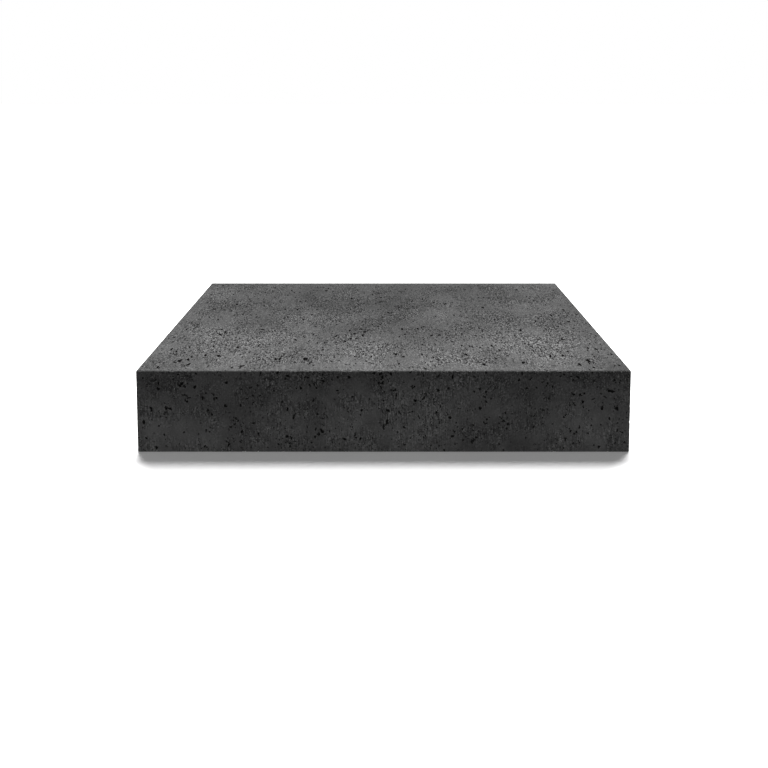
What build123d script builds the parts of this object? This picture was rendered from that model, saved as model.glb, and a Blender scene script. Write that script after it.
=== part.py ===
"""Cast concrete step block: one solid block of a garden or entrance stair, laid on its underside.

Millimetres, +Z up. The origin is the centre of the underside. +X runs along the step,
+Y from the front face (the riser) to the back, so the tread is the top face.
"""

import os

from build123d import *

# Driving dimensions
LENGTH = 1000.0  # along the step, end to end
TREAD_DEPTH = 500.0  # front face to back face
RISER_HEIGHT = 170.0  # underside to tread
ARRIS_RADIUS = 3.0  # rolled arrises that the mould forms, round the tread and down the corners
FOOT_CHAMFER = 1.0  # struck-off edge round the underside, which is the open side of the mould


def cast_prism():
    """The sharp-edged casting, standing on the XY plane."""
    underside = Rectangle(LENGTH, TREAD_DEPTH)
    return extrude(underside, amount=RISER_HEIGHT)


def mould_arrises(block):
    """The four edges round the tread and the four upright corners."""
    tread_edges = block.faces().sort_by(Axis.Z)[-1].edges()
    upright_edges = block.edges().filter_by(Axis.Z)
    return tread_edges + upright_edges


def foot_edges(block):
    """The closed loop of edges round the underside."""
    return block.faces().sort_by(Axis.Z)[0].outer_wire().edges()


def step_block():
    """The finished block: its arrises rolled by the mould, then its foot struck off."""
    block = cast_prism()
    block = fillet(mould_arrises(block), ARRIS_RADIUS)
    return chamfer(foot_edges(block), FOOT_CHAMFER)


NODES = {"step_block": step_block()}

os.makedirs("parts", exist_ok=True)
for name, solid in NODES.items():
    solid.label = name
    export_step(solid, f"parts/{name}.step")
    print(f"{name}: {solid.volume / 1e9:.5f} m3, box {solid.bounding_box().size}")
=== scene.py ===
# %% [markdown]
# # A cast concrete step block
#
# One block of an entrance or garden stair, cast in one piece in a mould from dark concrete that
# is coloured right through. Its form is plain: a slab with rolled edges. What makes it look real
# is its skin. Air trapped against the mould leaves blowholes, the mortar is open and gritty in
# some patches and closed in others, and the edges get nicked.
#
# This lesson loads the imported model, sets the camera and the studio, cuts the blowholes and nicks
# as real geometry, and then paints the skin with materials made of nodes.

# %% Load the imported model
import itertools
import math
from functools import reduce
from typing import NamedTuple

import bmesh
import bpy
import numpy as np
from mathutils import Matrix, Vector, kdtree, noise


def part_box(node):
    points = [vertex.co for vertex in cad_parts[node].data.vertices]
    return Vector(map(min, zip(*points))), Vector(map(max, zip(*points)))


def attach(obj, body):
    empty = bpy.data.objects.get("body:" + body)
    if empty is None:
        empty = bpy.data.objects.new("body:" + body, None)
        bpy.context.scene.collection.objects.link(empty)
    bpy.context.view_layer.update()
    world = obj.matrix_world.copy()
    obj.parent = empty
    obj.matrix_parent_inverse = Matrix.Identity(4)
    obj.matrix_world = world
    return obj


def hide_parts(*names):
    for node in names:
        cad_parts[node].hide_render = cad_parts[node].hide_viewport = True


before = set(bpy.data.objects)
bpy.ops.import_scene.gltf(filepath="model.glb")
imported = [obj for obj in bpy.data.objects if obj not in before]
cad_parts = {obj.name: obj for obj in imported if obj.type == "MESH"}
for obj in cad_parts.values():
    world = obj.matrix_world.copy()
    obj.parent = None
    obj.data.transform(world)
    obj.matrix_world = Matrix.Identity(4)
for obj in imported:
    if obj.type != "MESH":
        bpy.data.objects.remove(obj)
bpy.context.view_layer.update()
LOW, HIGH = (np.array(corner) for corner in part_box("step_block"))
MM = 0.001
print("the block is", (HIGH - LOW).round(4).tolist(), "m")

# %% [markdown]
# ## Camera
#
# The photograph looks straight at the front from above, yet the upright edges stay almost
# parallel. A camera that is simply tilted down makes them lean together. So this camera looks
# nearly level, and its lens is shifted down, the way a view camera takes a building. Position,
# lens and shift were fitted to the six corners of the block that the photograph shows.

# %% Camera
LENS_MM = 26.06
SENSOR_MM = 36.0
CAMERA_IN_FRONT = 1.0872  # metres from the front face
CAMERA_ABOVE = 0.5740  # metres above the tread
CAMERA_DIP = math.radians(3.466)
LENS_SHIFT = (0.0006, -0.345)  # in frame widths

scene = bpy.context.scene
lens = bpy.data.cameras.new("camera")
lens.lens = LENS_MM
lens.sensor_width = SENSOR_MM
lens.shift_x, lens.shift_y = LENS_SHIFT
camera = bpy.data.objects.new("camera", lens)
camera.location = (0.0, LOW[1] - CAMERA_IN_FRONT, HIGH[2] + CAMERA_ABOVE)
camera.rotation_euler = (math.pi / 2 - CAMERA_DIP, 0.0, 0.0)
scene.collection.objects.link(camera)
scene.camera = camera
scene.view_settings.view_transform = "Standard"
print("camera at", [round(x, 3) for x in camera.location])

# %% [markdown]
# ## Helpers for nodes
#
# Every material below is a small graph of nodes. A few helpers keep the graphs short enough to
# read. One adds a node and fills its inputs, two add a Math or a Map Range node and hand back its
# result, one writes a grey as a colour, and the last tells where the camera sees a surface.


# %% Helpers for nodes
def add_node(tree, kind, inputs=None, **settings):
    """Adds a node. Each input, by name or number, gets a plain value or a link from a socket."""
    node = tree.nodes.new(kind)
    for name, value in settings.items():
        setattr(node, name, value)
    for key, value in (inputs or {}).items():
        if isinstance(value, bpy.types.NodeSocket):
            tree.links.new(value, node.inputs[key])
        else:
            node.inputs[key].default_value = value
    return node


def calculate(tree, operation, *values):
    """Adds a Math node and returns its result."""
    inputs = dict(enumerate(values))
    return add_node(tree, "ShaderNodeMath", inputs, operation=operation).outputs[0]


def remap(tree, value, low, high, to_low, to_high, **settings):
    """Adds a Map Range node, which takes low..high to to_low..to_high, and returns its result."""
    inputs = {0: value, 1: low, 2: high, 3: to_low, 4: to_high}
    return add_node(tree, "ShaderNodeMapRange", inputs, **settings).outputs[0]


def grey(value):
    """An opaque grey, as red, green, blue and alpha."""
    return (value, value, value, 1.0)


def seen_directly(tree):
    """1 where the camera sees the surface straight, in a reflection or through glass, else 0."""
    path = add_node(tree, "ShaderNodeLightPath").outputs
    seen = calculate(tree, "MAXIMUM", path["Is Camera Ray"], path["Is Glossy Ray"])
    return calculate(tree, "MAXIMUM", seen, path["Is Transmission Ray"])


print("node helpers ready")

# %% [markdown]
# ## Studio
#
# The photograph has a white ground, a tread in full light and a front in shade, with a narrow soft
# shadow on the floor before it. A large lamp high up and a little behind the block gives all that
# at once, so the key light is a sun with a wide disc. White walls would light the front too much,
# so floor and world are white only where the camera looks at them, and a dull grey where they
# light the block. A lamp low over the front of the tread brightens it there, and another on the
# floor fills the foot of the front. These two light only the block, so that the floor keeps the
# plain shadow of the key light. Two more light only the floor, from behind on the left and right,
# because in the photograph the shadow's ends don't reach past the ends of the block.

# %% Floor and world
FLOOR_SIDE = 40.0  # metres
FLOOR_WHITE = 0.97  # as the camera sees it
FLOOR_GLOW = 0.12  # light of its own, so that the floor is white and its shadow a soft grey
FLOOR_BOUNCE = 0.04  # its grey where it lights the block
WORLD_LIGHT = 0.16  # strength of the world where it lights the block


def studio_floor():
    """A white floor under the block that throws little light back at it."""
    mesh = bpy.data.meshes.new("floor")
    half = FLOOR_SIDE / 2
    corners = [(-half, -half, 0.0), (half, -half, 0.0), (half, half, 0.0), (-half, half, 0.0)]
    mesh.from_pydata(corners, [], [(0, 1, 2, 3)])
    floor = bpy.data.objects.new("floor", mesh)
    floor.location.z = LOW[2]
    scene.collection.objects.link(floor)

    material = bpy.data.materials.new("floor_white")
    material.use_nodes = True
    tree = material.node_tree
    tree.nodes.clear()
    dull = add_node(tree, "ShaderNodeBsdfDiffuse", {"Color": grey(FLOOR_BOUNCE)})
    white = add_node(tree, "ShaderNodeBsdfDiffuse", {"Color": grey(FLOOR_WHITE)})
    glow = add_node(tree, "ShaderNodeEmission", {"Strength": FLOOR_GLOW})
    bright = add_node(tree, "ShaderNodeAddShader", {0: white.outputs[0], 1: glow.outputs[0]})
    inputs = {0: seen_directly(tree), 1: dull.outputs[0], 2: bright.outputs[0]}
    mixed = add_node(tree, "ShaderNodeMixShader", inputs)
    add_node(tree, "ShaderNodeOutputMaterial", {"Surface": mixed.outputs[0]})
    mesh.materials.append(material)
    return floor


def studio_world():
    """A white surround for the camera that lights the block softly from all round."""
    world = bpy.data.worlds.new("studio")
    world.use_nodes = True
    tree = world.node_tree
    tree.nodes.clear()
    dim, white = (
        add_node(tree, "ShaderNodeBackground", {"Color": grey(1.0), "Strength": strength})
        for strength in (WORLD_LIGHT, 1.0)
    )
    inputs = {0: seen_directly(tree), 1: dim.outputs[0], 2: white.outputs[0]}
    mixed = add_node(tree, "ShaderNodeMixShader", inputs)
    add_node(tree, "ShaderNodeOutputWorld", {"Surface": mixed.outputs[0]})
    scene.world = world
    return world


floor = studio_floor()
print("stage:", floor.name, "and", studio_world().name)

# %% Lamps
SUN_PLACE = (0.0, 1.0, 3.0)  # a sun shines alike from anywhere, only its turn counts
SUN_STRENGTH = 2.6
SUN_DISC = math.radians(10.3)
SUN_LEAN = math.radians(13.6)  # how far behind the block it stands, from straight overhead
TREAD_LAMP_POWER = 0.90
TREAD_LAMP_SIZE = (1.5, 0.06)  # metres, along and across the block
TREAD_LAMP_ABOVE = 0.18  # metres over the tread
TREAD_LAMP_BACK = 0.04  # metres its middle is behind the front face
FRONT_LAMP_POWER = 0.18
FRONT_LAMP_SIZE = (1.2, 0.02)  # metres, along the block and high
FRONT_LAMP_AHEAD = 0.14  # metres in front of the block
FRONT_LAMP_UP = 0.012  # metres over the floor
TRIM_STRENGTH = 3.0
TRIM_DISC = math.radians(20)
TRIM_TILT = math.radians(32)  # from straight overhead
TRIM_TURNS = (math.radians(28), math.radians(-38))  # from straight behind, to the left and right
block_alone = bpy.data.collections.new("block_alone")
floor_alone = bpy.data.collections.new("floor_alone")
floor_alone.objects.link(floor)


def hang_lamp(name, kind, place, turn, **settings):
    """Adds a lamp that the camera doesn't see."""
    lamp = bpy.data.objects.new(name, bpy.data.lights.new(name, kind))
    for key, value in settings.items():
        setattr(lamp.data, key, value)
    lamp.location = place
    lamp.rotation_euler = turn
    lamp.visible_camera = False
    scene.collection.objects.link(lamp)
    return lamp


def hang_strip(name, place, turn, power, size):
    """Adds a long lamp that lights nothing but the block."""
    long, wide = size
    lamp = hang_lamp(
        name, "AREA", place, turn, energy=power, shape="RECTANGLE", size=long, size_y=wide
    )
    lamp.light_linking.receiver_collection = block_alone


over_tread = (0.0, LOW[1] + TREAD_LAMP_BACK, HIGH[2] + TREAD_LAMP_ABOVE)
at_foot = (0.0, LOW[1] - FRONT_LAMP_AHEAD, LOW[2] + FRONT_LAMP_UP)
hang_lamp("sun", "SUN", SUN_PLACE, (-SUN_LEAN, 0.0, 0.0), energy=SUN_STRENGTH, angle=SUN_DISC)
hang_strip("tread_lamp", over_tread, (0.0, 0.0, 0.0), TREAD_LAMP_POWER, TREAD_LAMP_SIZE)
hang_strip("front_lamp", at_foot, (math.pi / 2, 0.0, 0.0), FRONT_LAMP_POWER, FRONT_LAMP_SIZE)
for name, turn in zip(("left_trim", "right_trim"), TRIM_TURNS):
    settings = {"energy": TRIM_STRENGTH, "angle": TRIM_DISC}
    trim = hang_lamp(name, "SUN", SUN_PLACE, (-TRIM_TILT, 0.0, turn), **settings)
    trim.light_linking.receiver_collection = floor_alone
print("lamps:", [light.name for light in bpy.data.lights])

# %% [markdown]
# ## Blowholes
#
# When concrete is poured, air bubbles settle against the mould, and each one leaves an open pit in
# the finished face. Most are 2 to 6 mm across, a few are larger, and here and there several have
# run together in a string. A bump map could fake them, but the pits are black because light
# doesn't get into them, and that needs real depth. So each pit is cut by a Boolean with a lump: a
# bowl of a few rings, with an uneven outline and a lid that stays outside the block. A small pit
# gets few sides and a large one more, which keeps thousands of them affordable.


# %% Lumps
PIT, NICK = 1, 2
MOUTH_FLARE, MOUTH_HEIGHT = 1.1, 0.4  # of the ring outside the block, in half-axes
BOWLS = (  # sides of a small, a middling and a large bowl, and how deep its rings lie
    (6, (0.45,)),
    (8, (0.30, 0.78)),
    (12, (0.25, 0.60, 0.90)),
)
LARGER_FROM = (2.3 * MM, 4.0 * MM)  # half-axes at which the next bowl takes over
OUTLINE_WAVES = ((1, 0.10), (2, 0.20), (3, 0.16))  # how often each goes round, and its height
OUTLINE_JITTER = 0.3  # of the angle between two sides
BOTTOM_JITTER = 0.2  # how far the lowest point strays from the middle, in half-axes
LUMP_REACH = MOUTH_FLARE * (1 + sum(height for _, height in OUTLINE_WAVES))


class Lump(NamedTuple):
    """A bowl to cut with: its middle, its half-axes as rows, the side it bites, and its kind."""

    centre: np.ndarray
    axes: np.ndarray
    side: int
    kind: int

    @property
    def half_axis(self):
        return np.linalg.norm(self.axes, axis=1).max()

    @property
    def reach(self):
        return LUMP_REACH * self.half_axis


def shape_lump(lump, rng):
    """The points and faces of one lump, in metres: lid first, then bands, then the bottom."""
    sides, depths = BOWLS[np.searchsorted(LARGER_FROM, lump.half_axis)]
    angles = np.arange(sides) + rng.uniform(-OUTLINE_JITTER, OUTLINE_JITTER, sides)
    angles *= 2 * math.pi / sides
    outline = np.ones(sides)
    for times, height in OUTLINE_WAVES:
        outline += height * np.sin(times * angles + rng.uniform(0.0, 2 * math.pi))
    rings = [(MOUTH_FLARE, MOUTH_HEIGHT)] + [(math.sqrt(1 - d * d), -d) for d in depths]
    points = [
        (radius * bulge * math.cos(angle), radius * bulge * math.sin(angle), height)
        for radius, height in rings
        for angle, bulge in zip(angles, outline)
    ]
    bottom = len(points)
    points.append((*rng.uniform(-BOTTOM_JITTER, BOTTOM_JITTER, 2), -1.0))

    following = [(side + 1) % sides for side in range(sides)]
    faces = [tuple(range(sides))]
    for start in range(0, bottom - sides, sides):
        below = start + sides
        faces += [(start + n, start + i, below + i, below + n) for i, n in enumerate(following)]
    last = bottom - sides
    faces += [(last + n, last + i, bottom) for i, n in enumerate(following)]
    return np.array(points) @ lump.axes + lump.centre, faces


print("bowls of", [sides for sides, _ in BOWLS], "sides")

# %% [markdown]
# Where the pits go is a game of chance with rules: they crowd in some patches and leave others
# bare, and their widths follow a skewed spread. On the upright faces they are a little taller than
# wide, because the bubbles were rising, and they crowd in a strip under the tread. On the two level
# faces, the tread and the underside, they are longer across the step, thin out towards the back,
# and are rare along the edges, where paste has closed the skin. The random numbers start from a
# fixed seed, so every run gives the same block. Only the largest pits are listed one by one: they
# stand about where the photograph shows them, as judged from it.


# %% Place the blowholes
class Face(NamedTuple):
    """A face: its axis and way, its pits per square metre, their usual width, and how many string."""

    name: str
    axis: int
    way: int
    pits: float
    pit_width: float
    strings: float


FACES = (
    Face("tread", 2, 1, 2000, 2.9 * MM, 0.06),
    Face("front", 1, -1, 2500, 3.2 * MM, 0.20),
    Face("back", 1, 1, 2500, 3.2 * MM, 0.20),
    Face("left_end", 0, -1, 2500, 3.2 * MM, 0.20),
    Face("right_end", 0, 1, 2500, 3.2 * MM, 0.20),
    Face("underside", 2, -1, 300, 3.9 * MM, 0.10),
)
ARRIS_RADIUS = 3.0 * MM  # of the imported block's rolled edges
PIT_SPREAD = 0.34  # of the logarithm of the width
PIT_LIMITS = (2.3 * MM, 6.5 * MM)
PIT_ASPECT = (1.0, 1.5)  # length over width
PIT_DEPTH = (0.8, 1.2)  # in half-widths
STRING_MORE = (1, 4)  # pits that follow the first in a string: from, and fewer than
STRING_BEND = 0.5  # radians, the usual turn from one pit to the next
STRING_STEP = (0.55, 0.85)  # from one pit to the next, in widths
STRING_DWINDLE = (0.7, 1.0)  # width of the next pit over that of the last
PIT_PATCH = 45.0 * MM  # size of the crowded and bare patches
USUAL_CHANCE, CHANCE_SWING = 0.48, 1.05  # of a pit, and how far patches sway it
LEAST_CHANCE = 0.06
FRONT_FACTOR, FACTOR_DROP = 1.2, 0.8  # on a level face, at its front edge, and the fall to its back
STRIP_CHANCE = 0.5  # added at the very top of the upright faces
TOP_STRIP = 22.0 * MM  # height of the crowded strip under the tread
RIM_WIDTH = 34.0 * MM  # of the closed skin along the edges of the level faces
RIM_OPEN = 0.15  # how open it is at the very edge
RISE_STRETCH = 1.15  # of the pits and pores on the upright faces, upwards
LEVEL_STRETCH = 1.5  # of the pits and pores on the level faces, across the step
SEEN_PITS = {  # millimetres along from the middle, up from the foot or back from the front, wide
    "front": (
        (-470, 91, 7), (-440, 93, 7), (-355, 88, 5), (-317, 146, 6), (-254, 39, 5), (-205, 105, 5),
        (-194, 91, 5), (-190, 12, 5), (-187, 30, 6), (-167, 134, 5), (-139, 32, 5), (-131, 38, 6),
        (-125, 44, 8), (-92, 157, 5), (-79, 27, 6), (-69, 157, 6), (-47, 28, 5), (-44, 88, 5),
        (-2, 157, 6), (110, 130, 6), (131, 134, 5), (140, 33, 6), (160, 48, 4), (188, 31, 5),
        (195, 92, 6), (207, 106, 5), (252, 59, 5), (273, 151, 5), (304, 53, 4), (369, 78, 4),
        (391, 42, 5), (392, 157, 5), (397, 120, 5), (442, 92, 7), (472, 91, 7), (489, 20, 5),
    ),
    "tread": (
        (-462, 92, 6), (-425, 41, 8), (-402, 26, 7), (-379, 64, 6), (-377, 163, 6), (-351, 62, 7),
        (-320, 100, 6), (-291, 19, 6), (-165, 48, 9), (-87, 130, 6), (-74, 166, 5), (-67, 167, 6),
        (239, 108, 6), (251, 87, 5), (290, 33, 7), (354, 61, 6), (382, 64, 6), (404, 26, 7),
        (405, 139, 6), (427, 41, 8), (464, 92, 6),
    ),
}
SEED = 20
rng = np.random.default_rng(SEED)


def crowding(face, place):
    """How likely a pit is at this place, from 0 to 1."""
    likely = USUAL_CHANCE + CHANCE_SWING * noise.noise(Vector(place / PIT_PATCH))
    if face.axis == 2:
        likely *= FRONT_FACTOR - FACTOR_DROP * (place[1] - LOW[1]) / (HIGH[1] - LOW[1])
        to_edge = np.minimum(place - LOW, HIGH - place)[:2].min()
        likely *= min(1.0, RIM_OPEN + (1.0 - RIM_OPEN) * to_edge / RIM_WIDTH)
    else:
        likely += STRIP_CHANCE * max(0.0, 1.0 - (HIGH[2] - place[2]) / TOP_STRIP)
    return min(max(likely, LEAST_CHANCE), 1.0)


def pit_lump(face, place, width):
    """One lump that opens a pit about this wide at a place on a face."""
    normal = np.eye(3)[face.axis] * face.way
    turn = rng.uniform(0.0, 2 * math.pi)
    first = np.roll((0.0, math.cos(turn), math.sin(turn)), face.axis)
    second = np.cross(normal, first)
    stretch = rng.uniform(*PIT_ASPECT) ** 0.5
    depth = rng.uniform(*PIT_DEPTH)
    axes = np.array([first * stretch, second / stretch, normal * depth]) * width / 2
    if face.axis == 2:
        axes[:, 1] *= LEVEL_STRETCH
    else:
        axes[:, 2] *= RISE_STRETCH
    return Lump(place, axes, FACES.index(face), PIT)


def pit_string(face, place, width):
    """The lumps of one pit: mostly one, sometimes a string that dwindles as it runs on."""
    lumps = [pit_lump(face, place, width)]
    if rng.random() > face.strings:
        return lumps
    heading = rng.uniform(0.0, 2 * math.pi)
    flat = [i for i in range(3) if i != face.axis]
    for _ in range(rng.integers(*STRING_MORE)):
        heading += rng.normal(0.0, STRING_BEND)
        step = np.zeros(3)
        step[flat] = math.cos(heading), math.sin(heading)
        place = place + step * width * rng.uniform(*STRING_STEP)
        width = max(width * rng.uniform(*STRING_DWINDLE), PIT_LIMITS[0])
        lumps.append(pit_lump(face, place, width))
    return lumps


def seen_pits(face):
    """The lumps for the pits that the photograph shows on a face."""
    lumps = []
    for along, away, width in SEEN_PITS.get(face.name, ()):
        place = np.array([along * MM, LOW[1], LOW[2] + away * MM])
        if face.axis == 2:
            place[1:] = LOW[1] + away * MM, HIGH[2]
        lumps.append(pit_lump(face, place, width * MM))
    return lumps


def face_pits(face):
    """All the lumps that cut one face."""
    flat = [i for i in range(3) if i != face.axis]
    wanted = int(face.pits * np.prod((HIGH - LOW)[flat]))
    lumps = seen_pits(face)
    while wanted:
        place = rng.uniform(LOW + ARRIS_RADIUS, HIGH - ARRIS_RADIUS)
        place[face.axis] = HIGH[face.axis] if face.way > 0 else LOW[face.axis]
        if rng.random() < crowding(face, place):
            width = float(np.clip(rng.lognormal(math.log(face.pit_width), PIT_SPREAD), *PIT_LIMITS))
            lumps += pit_string(face, place, width)
            wanted -= 1
    return lumps


pit_lumps = [lump for face in FACES for lump in face_pits(face)]
print(len(pit_lumps), "lumps for the blowholes")

# %% [markdown]
# ## Nicked edges
#
# The mould rolls the edges to a small radius, and handling then nicks them. A nick is cut like a
# pit, by a bowl that is long along the edge and opens outwards across the corner. It shows the
# same concrete as the faces.

# %% Place the nicks
ROLLED_OFF = ARRIS_RADIUS * (math.sqrt(2) - 1)  # from the sharp corner in to the rolled edge
NICKS_PER_METRE = 30
NICK_LENGTH = (3.0 * MM, 10.0 * MM)
NICK_WIDTH = (2.5 * MM, 6.0 * MM)
NICK_BITE = (0.3 * MM, 1.6 * MM)
BITE_SKEW = 3  # power of the random number, so that most nicks are shallow
NICK_ASKEW = 0.2  # how far a nick strays from its edge's direction


def edge_nicks(along, signs):
    """The lumps that nick one edge: the axis it runs along, and its side on the two others."""
    others = [i for i in range(3) if i != along]
    outward = np.zeros(3)
    outward[others] = signs
    outward /= math.sqrt(2)
    corner = np.where(outward > 0, HIGH, LOW)
    lumps = []
    for _ in range(round(NICKS_PER_METRE * (HIGH - LOW)[along])):
        length, width = rng.uniform(*NICK_LENGTH), rng.uniform(*NICK_WIDTH)
        bite = NICK_BITE[0] + (NICK_BITE[1] - NICK_BITE[0]) * rng.random() ** BITE_SKEW
        place = corner - outward * ROLLED_OFF
        place[along] = rng.uniform(LOW[along], HIGH[along])
        run = np.eye(3)[along] + rng.normal(0.0, NICK_ASKEW, 3)
        run -= outward * (outward @ run)
        run /= np.linalg.norm(run)
        half_axes = np.array([run * length / 2, np.cross(outward, run) * width / 2, outward * bite])
        axis = others[int(rng.integers(2))]
        way = 1 if outward[axis] > 0 else -1
        side = next(n for n, f in enumerate(FACES) if (f.axis, f.way) == (axis, way))
        lumps.append(Lump(place, half_axes, side, NICK))
    return lumps


SIGNS = tuple(itertools.product((-1, 1), repeat=2))
nick_lumps = [n for along in range(3) for signs in SIGNS for n in edge_nicks(along, signs)]
print(len(nick_lumps), "nicks on the edges")

# %% [markdown]
# ## Cut the block
#
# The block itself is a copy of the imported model's mesh, so its size stays true. Blender's manifold
# Boolean is quick even with thousands of lumps, but the cutter may not cross itself. So the
# lumps are dealt into rounds in which none touches another, and the rounds are cut in turn. First
# the copy is sliced into cells, because one huge face with a thousand holes makes bad triangles.
# Each face carries two numbers, which the Boolean passes on: the side of the block that it belongs
# to, and whether it is cast skin or the wall of a pit or a nick.

# %% Deal the lumps into rounds
def deal_rounds(lumps):
    """Lists of lumps, in each of which no lump touches another."""
    near = kdtree.KDTree(len(lumps))
    for number, lump in enumerate(lumps):
        near.insert(lump.centre, number)
    near.balance()
    widest = max(lump.reach for lump in lumps)
    turn, rounds = {}, []
    for number, lump in enumerate(lumps):
        taken = {
            turn[other]
            for _, other, gap in near.find_range(lump.centre, lump.reach + widest)
            if other in turn and gap < lump.reach + lumps[other].reach
        }
        turn[number] = next(n for n in itertools.count() if n not in taken)
        if turn[number] == len(rounds):
            rounds.append([])
        rounds[turn[number]].append(lump)
    return rounds


rounds = deal_rounds(pit_lumps + nick_lumps)
print("rounds of", [len(r) for r in rounds], "lumps")

# %% Cut
CELL = 25.0 * MM
WELD = 0.001 * MM  # points closer than this are one


def slice_into_cells(shape):
    """Slices the block's faces by planes across all three axes, about a cell apart."""
    for axis, normal in enumerate(np.eye(3)):
        cells = round((HIGH - LOW)[axis] / CELL)
        for place in np.linspace(LOW[axis], HIGH[axis], cells + 1)[1:-1]:
            everything = [*shape.verts, *shape.edges, *shape.faces]
            bmesh.ops.bisect_plane(shape, geom=everything, plane_co=normal * place, plane_no=normal)


def block_copy():
    """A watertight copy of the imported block, each face numbered by the side it looks to."""
    mesh = bpy.data.meshes.new("cast_block")
    shape = bmesh.new()
    shape.from_mesh(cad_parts["step_block"].data)
    bmesh.ops.remove_doubles(shape, verts=shape.verts, dist=WELD)
    slice_into_cells(shape)
    side = shape.faces.layers.int.new("side")
    shape.faces.layers.int.new("kind")
    for face in shape.faces:
        face[side] = int(np.argmax([face.normal[f.axis] * f.way for f in FACES]))
        face.material_index = 0
    shape.to_mesh(mesh)
    shape.free()
    piece = bpy.data.objects.new("cast_block", mesh)
    scene.collection.objects.link(piece)
    return piece


def cutter_of(lumps):
    """One object that holds all these lumps."""
    points, faces, sides, kinds = [], [], [], []
    for lump in lumps:
        start = len(points)
        lump_points, lump_faces = shape_lump(lump, rng)
        points.extend(lump_points.tolist())
        faces.extend([start + corner for corner in face] for face in lump_faces)
        sides += [lump.side] * len(lump_faces)
        kinds += [lump.kind] * len(lump_faces)
    mesh = bpy.data.meshes.new("cutter")
    mesh.from_pydata(points, [], faces)
    mesh.attributes.new("side", "INT", "FACE").data.foreach_set("value", sides)
    mesh.attributes.new("kind", "INT", "FACE").data.foreach_set("value", kinds)
    cutter = bpy.data.objects.new("cutter", mesh)
    scene.collection.objects.link(cutter)
    return cutter


def cut(piece, lumps):
    """Takes the lumps out of the piece."""
    cutter = cutter_of(lumps)
    boolean = piece.modifiers.new("cut", "BOOLEAN")
    boolean.object = cutter
    boolean.operation = "DIFFERENCE"
    boolean.solver = "MANIFOLD"
    depsgraph = bpy.context.evaluated_depsgraph_get()
    mesh = bpy.data.meshes.new_from_object(piece.evaluated_get(depsgraph))
    piece.modifiers.clear()
    piece.data = mesh
    bpy.data.meshes.remove(cutter.data)


block = block_copy()
for lumps in rounds:
    cut(block, lumps)
print("cut to", len(block.data.polygons), "faces")

# %% [markdown]
# ## Clean up the mesh
#
# The Boolean leaves large many-sided faces, which are split into triangles here so that every
# program sees the same ones. Shading needs care too: smooth inside the pits and over the rolled
# edges, flat on the faces, with a hard line round each pit. The true normal of the rolled block
# at a point is known, so it is written to every corner on the skin.

# %% Triangles and normals
HARD_ANGLE = math.radians(50)
FOOT_NORMAL = -0.3  # faces that look further down than this keep their own normals


def read(items, name, kind=np.float32, width=1):
    """All values of one property of mesh items, as an array."""
    values = np.empty(len(items) * width, kind)
    items.foreach_get(name, values)
    return values.reshape(-1, width) if width > 1 else values


def split_and_sharpen(mesh):
    """Triangles throughout, and hard edges round the pits and wherever two faces meet steeply."""
    shape = bmesh.new()
    shape.from_mesh(mesh)
    bmesh.ops.triangulate(shape, faces=shape.faces)
    bmesh.ops.dissolve_degenerate(shape, dist=WELD, edges=shape.edges)
    bmesh.ops.triangulate(shape, faces=shape.faces)
    kind = shape.faces.layers.int["kind"]
    for edge in shape.edges:
        kinds = {face[kind] for face in edge.link_faces}
        edge.smooth = len(kinds) == 1 and edge.calc_face_angle(0.0) < HARD_ANGLE
    for face in shape.faces:
        face.smooth = True
    shape.to_mesh(mesh)
    loose = sum(not edge.is_manifold for edge in shape.edges)
    shape.free()
    return loose


def write_normals(mesh):
    """Gives the skin the normals of the ideal rolled block, and leaves the pits to Blender."""
    corner_points = read(mesh.vertices, "co", width=3)[read(mesh.loops, "vertex_index", np.int32)]
    core = np.clip(corner_points, LOW + ARRIS_RADIUS, HIGH - ARRIS_RADIUS)
    core[:, 2] = np.minimum(corner_points[:, 2], HIGH[2] - ARRIS_RADIUS)
    outward = corner_points - core
    length = np.linalg.norm(outward, axis=1, keepdims=True)
    outward = outward / np.maximum(length, 1e-9)
    skin = read(mesh.attributes["kind"].data, "value", np.int32) == 0
    skin &= read(mesh.polygons, "normal", width=3)[:, 2] > FOOT_NORMAL
    outward[~np.repeat(skin, 3)] = 0.0
    mesh.normals_split_custom_set(outward)


open_edges = split_and_sharpen(block.data)
write_normals(block.data)
print(len(block.data.polygons), "triangles,", open_edges, "open edges")

# %% [markdown]
# ## A map for baking
#
# When the block is exported, its materials are baked to an image, which needs a UV map. Each side
# of the block is flat apart from its pits, so it is simply laid out straight on, at one scale, with
# the six sides packed into a square.

# %% Lay out the map
MAP_GAP = 6.0 * MM


def lay_out_map(mesh):
    """Lays the six sides out in the unit square, in true proportion."""
    long, deep, high = HIGH - LOW
    row = [0.0, deep + MAP_GAP, 2 * (deep + MAP_GAP)]
    row.append(row[2] + high + MAP_GAP)
    fields = {  # side: the field's left and lower corner, and the axes that run along and up it
        "tread": (0.0, row[0], 0, 1),
        "underside": (0.0, row[1], 0, 1),
        "back": (0.0, row[2], 0, 2),
        "left_end": (0.0, row[3], 1, 2),
        "right_end": (deep + MAP_GAP, row[3], 1, 2),
        "front": (long + MAP_GAP, row[0], 2, 0),
    }
    square = row[3] + high
    side = np.repeat(read(mesh.attributes["side"].data, "value", np.int32), 3)
    points = read(mesh.vertices, "co", width=3)[read(mesh.loops, "vertex_index", np.int32)] - LOW
    places = np.zeros((len(points), 2))
    for name, (left, lower, along, up) in fields.items():
        here = side == [f.name for f in FACES].index(name)
        places[here] = points[here][:, [along, up]] + (left, lower)
    layer = mesh.uv_layers.new(name="OFBake")
    layer.data.foreach_set("uv", (places / square).astype(np.float32).ravel())
    return square


print("the map covers a square of", round(lay_out_map(block.data), 3), "m")

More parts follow.
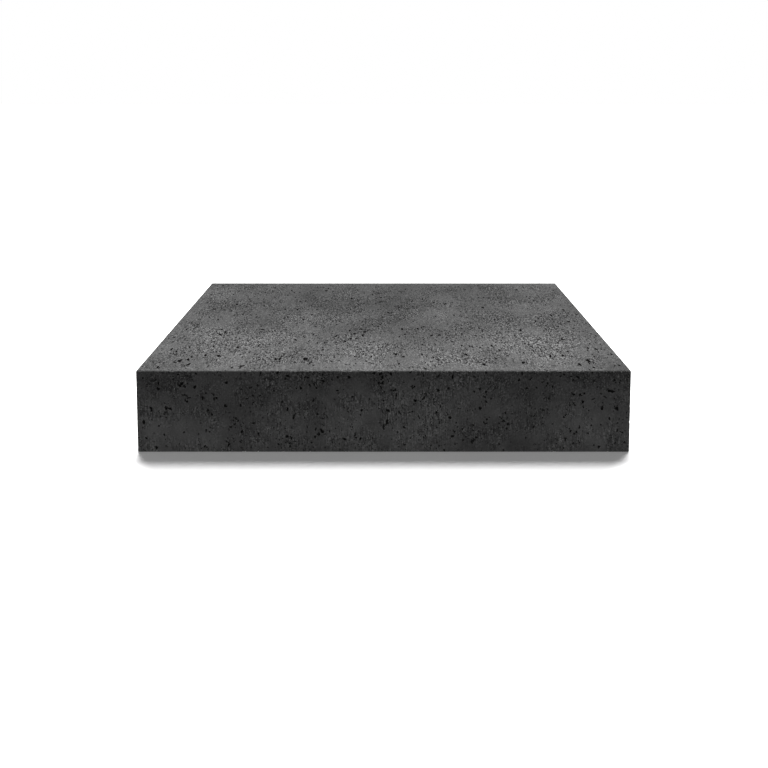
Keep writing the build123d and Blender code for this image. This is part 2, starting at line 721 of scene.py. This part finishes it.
# %% [markdown]
# ## The look of the concrete
#
# Seen close, the skin has layers: clouds of lighter and darker cement, patches where the mortar is
# open and gritty, sand grains, pinholes too small to cut, and streaks where the mould was drawn
# off. Tread, upright faces and underside have all of these in different measure, so each effect
# is a node group with its sizes and strengths as inputs. Clouds and patches can be shifted too,
# which lays the pale and the open areas about where the photograph shows them.


# %% Node groups
NOWHERE = (0.0, 0.0, 0.0)
CLOUD_NOISE = (0.3, 0.7)  # what the noise of the clouds mostly stays within
STREAK_NOISE = (0.32, 0.68)  # the same for the streaks
DARK_UP_TO, PALE_FROM = 0.40, 0.67  # shares of the grains, ranked from dark to pale
DARKEST_GRAIN = 0.05
LEAST_HOLE = 0.5  # of the given radius, and the largest hole is 1 more
HOLE_CORE = 0.75  # of a hole's radius, inside which it is fully dark


def new_group(name, inputs, outputs):
    """A node group and the sockets inside it: what comes in, and where its results go."""
    tree = bpy.data.node_groups.new(name, "ShaderNodeTree")
    for label, value in inputs.items():
        kind = "NodeSocketVector" if isinstance(value, tuple) else "NodeSocketFloat"
        tree.interface.new_socket(label, in_out="INPUT", socket_type=kind).default_value = value
    for label in outputs:
        tree.interface.new_socket(label, in_out="OUTPUT", socket_type="NodeSocketFloat")
    return tree, tree.nodes.new("NodeGroupInput").outputs, tree.nodes.new("NodeGroupOutput").inputs


def shifted(tree, given):
    """A group's coordinates, moved by its shift."""
    inputs = {0: given["Vector"], 1: given["Shift"]}
    return add_node(tree, "ShaderNodeVectorMath", inputs, operation="ADD").outputs[0]


def noise_at(tree, vector, size, detail, roughness=0.5):
    """Noise whose blobs are about this size in metres."""
    scale = calculate(tree, "DIVIDE", 1.0, size)
    inputs = {"Vector": vector, "Scale": scale, "Detail": detail, "Roughness": roughness}
    return add_node(tree, "ShaderNodeTexNoise", inputs).outputs[0]


def clouds_group():
    """Soft lighter and darker areas."""
    inputs = {"Vector": NOWHERE, "Shift": NOWHERE, "Size": 100 * MM, "Strength": 0.1}
    tree, given, results = new_group("Cement clouds", inputs, ["Tone"])
    cloud = noise_at(tree, shifted(tree, given), given["Size"], detail=2.0)
    low = calculate(tree, "SUBTRACT", 1.0, given["Strength"])
    high = calculate(tree, "ADD", 1.0, given["Strength"])
    tone = remap(tree, cloud, *CLOUD_NOISE, low, high, clamp=False)
    tree.links.new(tone, results["Tone"])
    return tree


def patches_group():
    """Where the mortar is open, as a mask."""
    inputs = {
        "Vector": NOWHERE,
        "Shift": NOWHERE,
        "Size": 60 * MM,
        "Level": 0.5,
        "Softness": 0.08,
    }
    tree, given, results = new_group("Open patches", inputs, ["Mask"])
    patch = noise_at(tree, shifted(tree, given), given["Size"], detail=3.0, roughness=0.6)
    low = calculate(tree, "SUBTRACT", given["Level"], given["Softness"])
    high = calculate(tree, "ADD", given["Level"], given["Softness"])
    mask = remap(tree, patch, low, high, 0.0, 1.0, interpolation_type="SMOOTHSTEP")
    tree.links.new(mask, results["Mask"])
    return tree


def flat_cells(tree, vector, size):
    """A flat pattern of uneven cells about this size in metres, as a Voronoi node."""
    scale = calculate(tree, "DIVIDE", 1.0, size)
    inputs = {"Vector": vector, "Scale": scale}
    return add_node(tree, "ShaderNodeTexVoronoi", inputs, voronoi_dimensions="2D")


def grit_group():
    """Sand grains, each of one tone: two in five darker than the cement, one in three paler."""
    inputs = {"Vector": NOWHERE, "Grain": 3.0 * MM, "Dark": 0.5, "Pale": 0.5, "Mask": 1.0}
    tree, given, results = new_group("Sand grit", inputs, ["Tone", "Height"])
    cells = flat_cells(tree, given["Vector"], given["Grain"])
    chance = add_node(tree, "ShaderNodeSeparateColor", {0: cells.outputs["Color"]}).outputs[2]
    dark = remap(tree, chance, 0.0, DARK_UP_TO, 1.0, 0.0)
    pale = remap(tree, chance, PALE_FROM, 1.0, 0.0, 1.0)
    darker = calculate(tree, "MULTIPLY", dark, given["Dark"])
    paler = calculate(tree, "MULTIPLY", pale, given["Pale"])
    change = calculate(tree, "SUBTRACT", paler, darker)
    tone = calculate(tree, "MULTIPLY_ADD", change, given["Mask"], 1.0)
    tone = calculate(tree, "MAXIMUM", tone, DARKEST_GRAIN)
    height = calculate(tree, "MULTIPLY", calculate(tree, "SUBTRACT", pale, dark), given["Mask"])
    tree.links.new(tone, results["Tone"])
    tree.links.new(height, results["Height"])
    return tree


def pinholes_group():
    """Small round holes of varied size within a mask."""
    inputs = {
        "Vector": NOWHERE,
        "Spacing": 6.0 * MM,
        "Radius": 1.0 * MM,
        "Share": 0.5,
        "Mask": 1.0,
    }
    tree, given, results = new_group("Pinholes", inputs, ["Hole"])
    cells = flat_cells(tree, given["Vector"], given["Spacing"])
    chance = add_node(tree, "ShaderNodeSeparateColor", {0: cells.outputs["Color"]}).outputs
    varied = calculate(tree, "ADD", chance[1], LEAST_HOLE)
    radius = calculate(tree, "MULTIPLY", given["Radius"], varied)
    edge = calculate(tree, "DIVIDE", radius, given["Spacing"])
    core = calculate(tree, "MULTIPLY", edge, HOLE_CORE)
    away = cells.outputs["Distance"]
    hole = remap(tree, away, core, edge, 1.0, 0.0, interpolation_type="SMOOTHSTEP")
    open_share = calculate(tree, "MULTIPLY", given["Share"], given["Mask"])
    there = calculate(tree, "LESS_THAN", chance[0], open_share)
    tree.links.new(calculate(tree, "MULTIPLY", hole, there), results["Hole"])
    return tree


def streaks_group():
    """Fine streaks, drawn out along one axis: few per metre that way, many per metre the others."""
    per_metre = (400.0, 400.0, 30.0)
    inputs = {"Vector": NOWHERE, "Per metre": per_metre, "Strength": 0.2, "Mask": 1.0}
    tree, given, results = new_group("Drag streaks", inputs, ["Tone", "Height"])
    inputs = {0: given["Vector"], 1: given["Per metre"]}
    stretched = add_node(tree, "ShaderNodeVectorMath", inputs, operation="MULTIPLY").outputs[0]
    streak = noise_at(tree, stretched, 1.0, detail=2.0)
    centred = remap(tree, streak, *STREAK_NOISE, -1.0, 1.0)
    amount = calculate(tree, "MULTIPLY", given["Strength"], given["Mask"])
    tree.links.new(calculate(tree, "MULTIPLY_ADD", centred, amount, 1.0), results["Tone"])
    tree.links.new(calculate(tree, "MULTIPLY", centred, given["Mask"]), results["Height"])
    return tree


CLOUDS, PATCHES, GRIT = clouds_group(), patches_group(), grit_group()
PINHOLES, STREAKS = pinholes_group(), streaks_group()
print("groups:", [g.name for g in bpy.data.node_groups])

# %% [markdown]
# ## The materials
#
# Each material multiplies a base grey by the tones of its groups, darkens the pinholes with
# painted shade, and sends the same grains and holes through a Bump node. Dry concrete hardly
# shines, so the gloss is set low. The upright faces are darker in a ragged strip under the tread:
# painted shade under its edge, with more grit. The level faces are closed along their edges. The
# pits have a lining of their own: a nearly black sheet with no sheen, painted shade inside them.
# In the photograph the pits of the tread are black even in full light, so their lining is darker
# than that of the other pits: more painted shade.

# %% Concrete materials
CONCRETE_GREY = 0.105
# Pinholes too small to cut are painted dark: painted shade inside them.
PINHOLE_SHADE_GREY = 0.012
CONCRETE_GLOSS = 0.15
CONCRETE_ROUGHNESS = (0.78, 0.92)  # of closed skin and of open patches
PATCH_TONE = (0.98, 1.02)  # of closed skin and of open patches
RELIEF = 0.5 * MM
RELIEF_STRENGTH = 0.6
HOLE_HEIGHT, GRAIN_HEIGHT = -2.0, 0.4  # in reliefs
# The dark strip under the tread is painted shade under the tread's edge, with more grit in it.
TOP_SHADE_DEPTH = 85 * MM  # how far the dark strip reaches down from the tread
TOP_SHADE_STRENGTH = 0.30
TOP_SHADE_WANDER = 40 * MM  # size of the waves in its edge
TOP_SHADE_GRIT = 2.5  # power by which the strip's darkness brings out the grit


def new_material(name):
    """A material, and what is needed to build it: its tree, its shader and the place on the block."""
    material = bpy.data.materials.new(name)
    material.use_nodes = True
    tree = material.node_tree
    place = add_node(tree, "ShaderNodeTexCoord").outputs["Object"]
    return material, tree, tree.nodes["Principled BSDF"], place


def use_group(tree, group, inputs):
    """Places a group in a material, with its values, and returns its results."""
    return add_node(tree, "ShaderNodeGroup", inputs, node_tree=group).outputs


def combine(tree, operation, values):
    """All values put together by one operation."""
    return reduce(lambda total, value: calculate(tree, operation, total, value), values)


def flat_map(tree, place, upright):
    """Flat coordinates for pores and grains: along an upright face and up it, or over a level one."""
    parts = add_node(tree, "ShaderNodeSeparateXYZ", {0: place}).outputs
    if upright:  # X runs along the front and back, and Y along the ends
        along = calculate(tree, "ADD", parts["X"], parts["Y"])
        rise = calculate(tree, "DIVIDE", parts["Z"], RISE_STRETCH)
        return add_node(tree, "ShaderNodeCombineXYZ", {"X": along, "Y": rise}).outputs[0]
    across = calculate(tree, "DIVIDE", parts["Y"], LEVEL_STRETCH)
    return add_node(tree, "ShaderNodeCombineXYZ", {"X": parts["X"], "Y": across}).outputs[0]


def closed_rim(tree, place):
    """A factor that is low along the edges of a level face, where the paste gathers, and else 1."""
    parts = add_node(tree, "ShaderNodeSeparateXYZ", {0: place}).outputs
    to_ends = calculate(tree, "SUBTRACT", HIGH[0], calculate(tree, "ABSOLUTE", parts["X"]))
    to_sides = calculate(tree, "SUBTRACT", HIGH[1], calculate(tree, "ABSOLUTE", parts["Y"]))
    to_edge = calculate(tree, "MINIMUM", to_ends, to_sides)
    return remap(tree, to_edge, 0.0, RIM_WIDTH, RIM_OPEN, 1.0)


def painted_top_shade(tree, place):
    """A tone that is darker just under the tread: painted shade under its edge."""
    height = add_node(tree, "ShaderNodeSeparateXYZ", {0: place}).outputs["Z"]
    wander = noise_at(tree, place, TOP_SHADE_WANDER, detail=2.0)
    below = calculate(tree, "SUBTRACT", HIGH[2], height)
    centred = calculate(tree, "SUBTRACT", below, TOP_SHADE_DEPTH / 2)
    ragged = calculate(tree, "MULTIPLY_ADD", wander, TOP_SHADE_DEPTH, centred)
    darkest = 1.0 - TOP_SHADE_STRENGTH
    return remap(tree, ragged, 0.0, TOP_SHADE_DEPTH, darkest, 1.0, interpolation_type="SMOOTHSTEP")


def concrete(name, sandiness, clouds, patches, grits, pinholes, streaks=(), upright=False):
    """Builds one finish out of the groups. Sandiness is how much grit shows outside the patches."""
    material, tree, shader, place = new_material(name)
    flat = flat_map(tree, place, upright)
    mask = use_group(tree, PATCHES, {"Vector": place, **patches})["Mask"]
    if not upright:
        mask = calculate(tree, "MULTIPLY", mask, closed_rim(tree, place))
    sandy = remap(tree, mask, 0.0, 1.0, sandiness, 1.0)
    tones = [remap(tree, mask, 0.0, 1.0, *PATCH_TONE)]
    if upright:
        # painted shade in a strip under the tread, which also brings out more grit
        top_shade = painted_top_shade(tree, place)
        tones.append(top_shade)
        sandy = calculate(tree, "DIVIDE", sandy, calculate(tree, "POWER", top_shade, TOP_SHADE_GRIT))

    tones += [use_group(tree, CLOUDS, {"Vector": place, **cloud})["Tone"] for cloud in clouds]
    grains = [use_group(tree, GRIT, {"Vector": flat, "Mask": sandy, **grit}) for grit in grits]
    over_skin = {"Vector": place, "Mask": mask}
    grains += [use_group(tree, STREAKS, {**over_skin, **streak}) for streak in streaks]
    tones += [grain["Tone"] for grain in grains]
    tone = calculate(tree, "MULTIPLY", combine(tree, "MULTIPLY", tones), CONCRETE_GREY)
    over_face = {"Vector": flat, "Mask": mask}
    holes = [use_group(tree, PINHOLES, {**over_face, **size})["Hole"] for size in pinholes]
    hole = combine(tree, "MAXIMUM", holes)
    # painted shade in the pinholes
    colour = remap(tree, hole, 0.0, 1.0, tone, PINHOLE_SHADE_GREY)

    height = calculate(tree, "MULTIPLY", hole, HOLE_HEIGHT)
    for grain in grains:
        height = calculate(tree, "MULTIPLY_ADD", grain["Height"], GRAIN_HEIGHT, height)
    relief = {"Height": height, "Distance": RELIEF, "Strength": RELIEF_STRENGTH}
    bump = add_node(tree, "ShaderNodeBump", relief).outputs[0]
    rough = remap(tree, mask, 0.0, 1.0, *CONCRETE_ROUGHNESS)
    tree.links.new(colour, shader.inputs["Base Color"])
    tree.links.new(rough, shader.inputs["Roughness"])
    tree.links.new(bump, shader.inputs["Normal"])
    shader.inputs["Specular IOR Level"].default_value = CONCRETE_GLOSS
    return material


tread_skin = concrete(
    "tread_concrete",
    sandiness=0.42,
    clouds=[
        {"Size": 160 * MM, "Strength": 0.30, "Shift": (2.3, -5.1, 9.0)},
        {"Size": 35 * MM, "Strength": 0.05},
    ],
    patches={"Size": 70 * MM, "Level": 0.50, "Softness": 0.18, "Shift": (6.5, 5.5, 7.3)},
    grits=[{"Grain": 1.9 * MM, "Dark": 0.90, "Pale": 1.55}],
    pinholes=[
        {"Spacing": 7.5 * MM, "Radius": 1.6 * MM, "Share": 0.75},
        {"Spacing": 4.5 * MM, "Radius": 1.1 * MM, "Share": 0.85},
    ],
)
upright_skin = concrete(
    "upright_concrete",
    sandiness=0.2,
    clouds=[
        {"Size": 120 * MM, "Strength": 0.30, "Shift": (5.2, -0.9, 3.9)},
        {"Size": 25 * MM, "Strength": 0.15},
    ],
    patches={"Size": 40 * MM, "Level": 0.52, "Softness": 0.18, "Shift": (8.2, -7.1, -6.5)},
    grits=[{"Grain": 2.4 * MM, "Dark": 0.53, "Pale": 0.88}],
    pinholes=[
        {"Spacing": 9 * MM, "Radius": 1.3 * MM, "Share": 0.70},
        {"Spacing": 5 * MM, "Radius": 0.8 * MM, "Share": 0.50},
    ],
    streaks=[
        {"Per metre": (420.0, 420.0, 55.0), "Strength": 0.65},
        {"Per metre": (16.0, 16.0, 3.0), "Strength": 0.12, "Mask": 1.0},
    ],
    upright=True,
)
underside_skin = concrete(
    "struck_concrete",
    sandiness=0.5,
    clouds=[{"Size": 160 * MM, "Strength": 0.20}, {"Size": 40 * MM, "Strength": 0.14}],
    patches={"Size": 90 * MM, "Level": 0.46, "Softness": 0.10},
    grits=[{"Grain": 3.5 * MM, "Dark": 0.50, "Pale": 0.60}],
    pinholes=[{"Spacing": 10 * MM, "Radius": 1.2 * MM, "Share": 0.60}],
    streaks=[{"Per metre": (12.0, 160.0, 160.0), "Strength": 0.20}],
)
print("skins:", tread_skin.name, upright_skin.name, underside_skin.name)

# %% Lining of the pits: painted shade
# Both greys paint the shade inside the pits; the pits of the tread get the darker one.
PIT_SHADE_GREY = 0.026
TREAD_PIT_SHADE_GREY = 0.010
PIT_SHADE_CLOUD = 4 * MM
PIT_SHADE_SWING = 0.5  # of its tone, either way
PIT_SHADE_ROUGHNESS = (0.80, 0.95)  # where it is darkest and palest


def pit_shade_lining(name, shade_grey):
    """A dark, matt film of about this grey, with a little cloud in it: painted shade in the pits."""
    material, tree, shader, place = new_material(name)
    cloud = {"Vector": place, "Size": PIT_SHADE_CLOUD, "Strength": PIT_SHADE_SWING}
    tone = use_group(tree, CLOUDS, cloud)["Tone"]
    rough = remap(tree, tone, 1.0 - PIT_SHADE_SWING, 1.0 + PIT_SHADE_SWING, *PIT_SHADE_ROUGHNESS)
    tree.links.new(calculate(tree, "MULTIPLY", tone, shade_grey), shader.inputs["Base Color"])
    tree.links.new(rough, shader.inputs["Roughness"])
    shader.inputs["Specular IOR Level"].default_value = 0.0
    return material


pit_shade = pit_shade_lining("pit_shade_lining", PIT_SHADE_GREY)
tread_pit_shade = pit_shade_lining("tread_pit_shade_lining", TREAD_PIT_SHADE_GREY)
print("linings:", pit_shade.name, tread_pit_shade.name)

# %% [markdown]
# ## Dress the block
#
# Last, each face gets the material of its side, or a lining of painted shade where a pit was cut,
# and the dressed block takes the place of the plain one from the imported model.

# %% Dress the block
SKINS = (tread_skin, upright_skin, underside_skin, pit_shade, tread_pit_shade)


def dress(mesh):
    """Gives every face its material."""
    side = read(mesh.attributes["side"].data, "value", np.int32)
    # Pit faces get a lining of painted shade, darker still on the tread.
    pit_shaded = read(mesh.attributes["kind"].data, "value", np.int32) == PIT
    looks_up = np.array([f.axis == 2 and f.way > 0 for f in FACES])[side]
    looks_down = np.array([f.axis == 2 and f.way < 0 for f in FACES])[side]
    tests = [pit_shaded & looks_up, pit_shaded, looks_up, looks_down]
    worn = [SKINS.index(skin) for skin in (tread_pit_shade, pit_shade, tread_skin, underside_skin)]
    slot = np.select(tests, worn, SKINS.index(upright_skin))
    mesh.materials.clear()
    for skin in SKINS:
        mesh.materials.append(skin)
    mesh.polygons.foreach_set("material_index", slot.astype(np.int32))
    mesh.update()


dress(block.data)
block_alone.objects.link(block)
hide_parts("step_block")
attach(block, "root")
print("dressed:", block.name)
